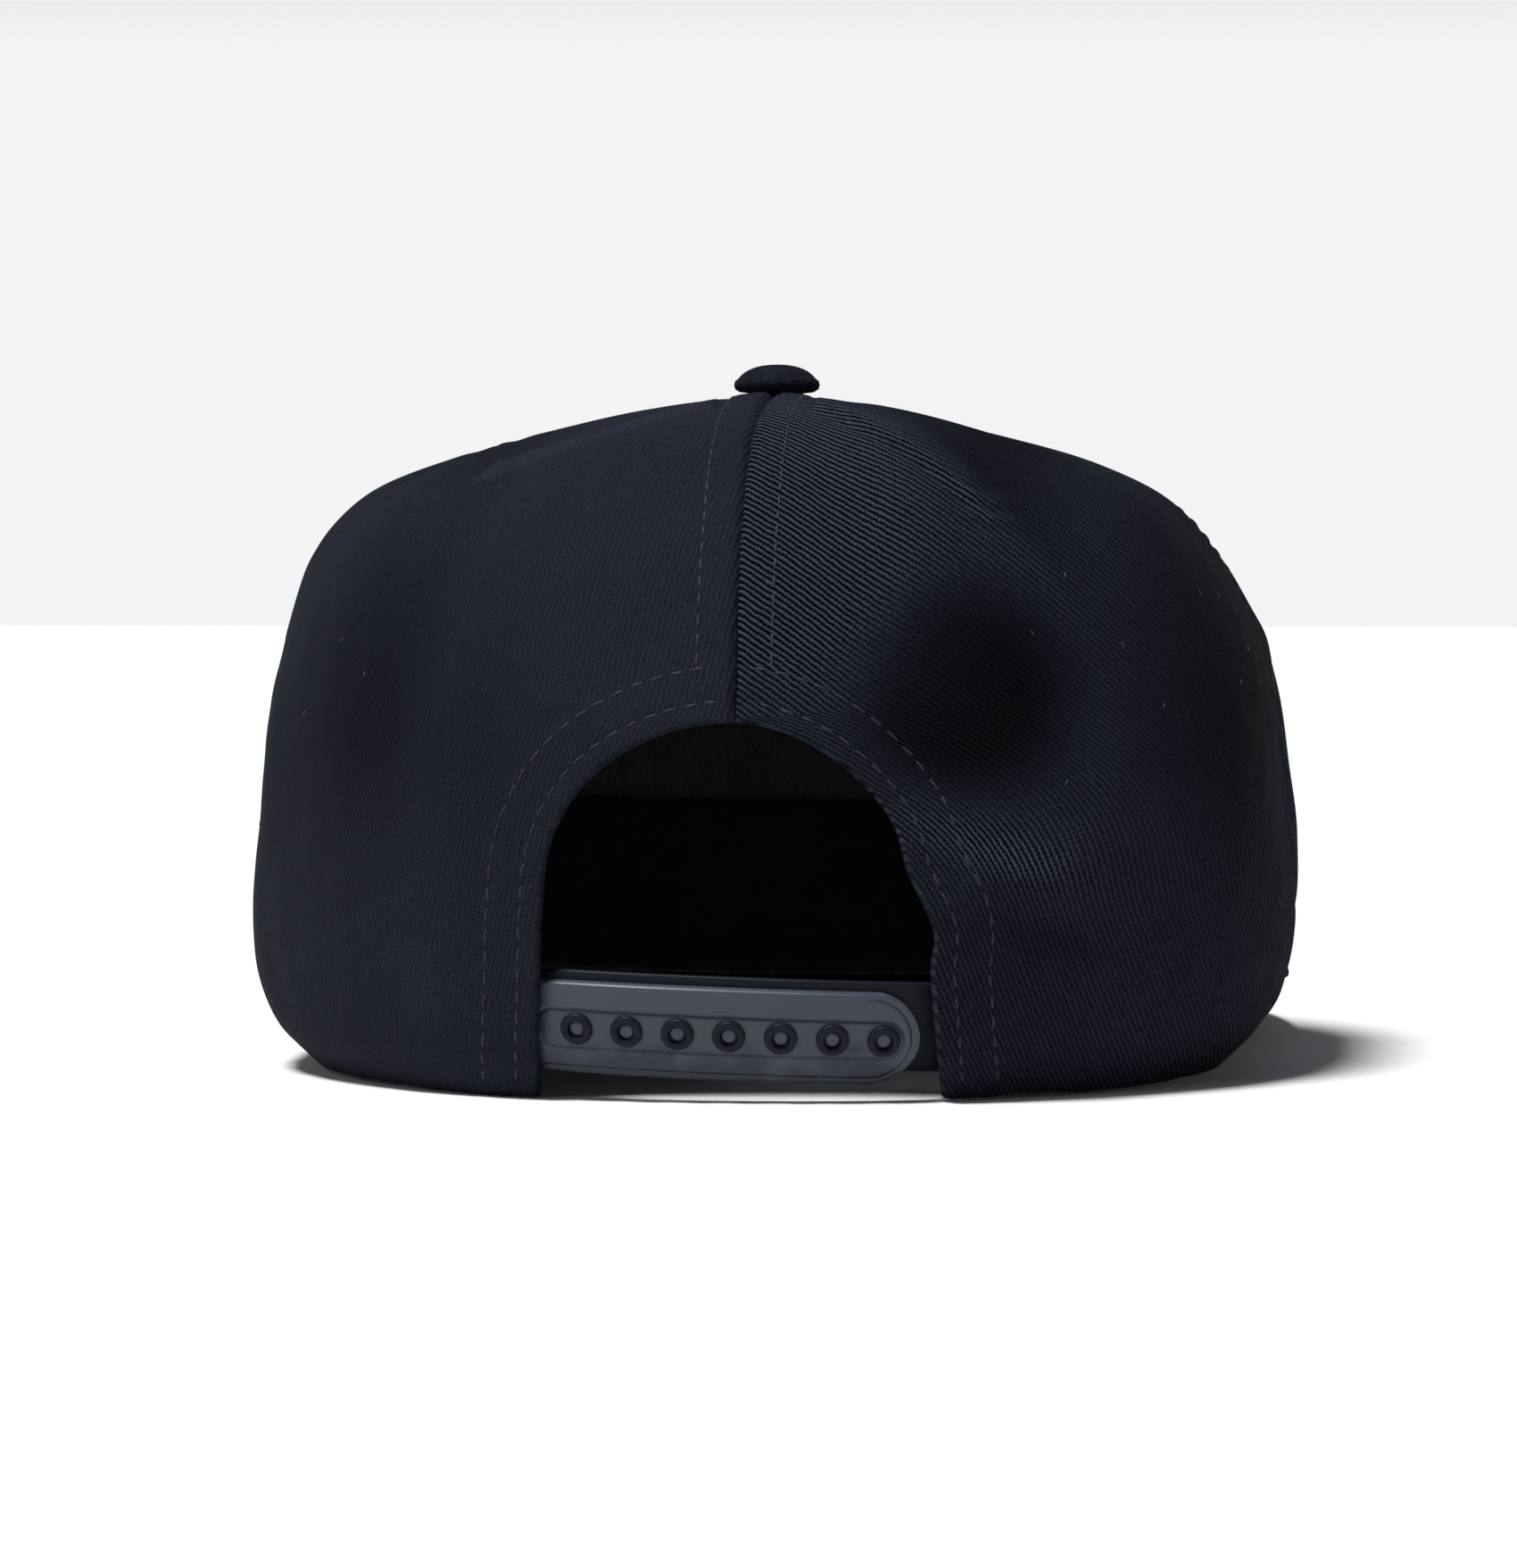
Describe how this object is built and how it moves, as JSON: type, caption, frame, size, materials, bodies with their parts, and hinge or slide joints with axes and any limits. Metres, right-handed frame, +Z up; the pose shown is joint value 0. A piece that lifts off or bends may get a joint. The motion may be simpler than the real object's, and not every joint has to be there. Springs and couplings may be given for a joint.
{
  "type": "snapback cap",
  "caption": "Flat-brim snapback cap in dark cotton twill with a structured front panel, darted rear panels, covered button, arched rear opening, sweatband and a plastic snap closure",
  "frame": {"origin": "the middle of the bottom of the part's box, on the surface that the cap rests on", "axes": "+Z up, -Y towards the brim's front edge, +Y towards the rear opening, +X towards the wearer's left"},
  "size_m": [0.1898, 0.2608, 0.1241],
  "materials": {
    "crown_cloth": "black-navy cotton twill",
    "brim_cloth": "cotton twill over a stiff board",
    "band_cloth": "plain woven cotton band",
    "strap_plastic": "satin moulded plastic"
  },
  "bodies": {
    "root": {"front_panel": "crown_cloth", "left_panel": "crown_cloth", "right_panel": "crown_cloth", "button": "crown_cloth", "brim": "brim_cloth", "sweatband": "band_cloth", "socket_strap": "strap_plastic", "peg_strap": "strap_plastic"}
  },
  "joints": []
}
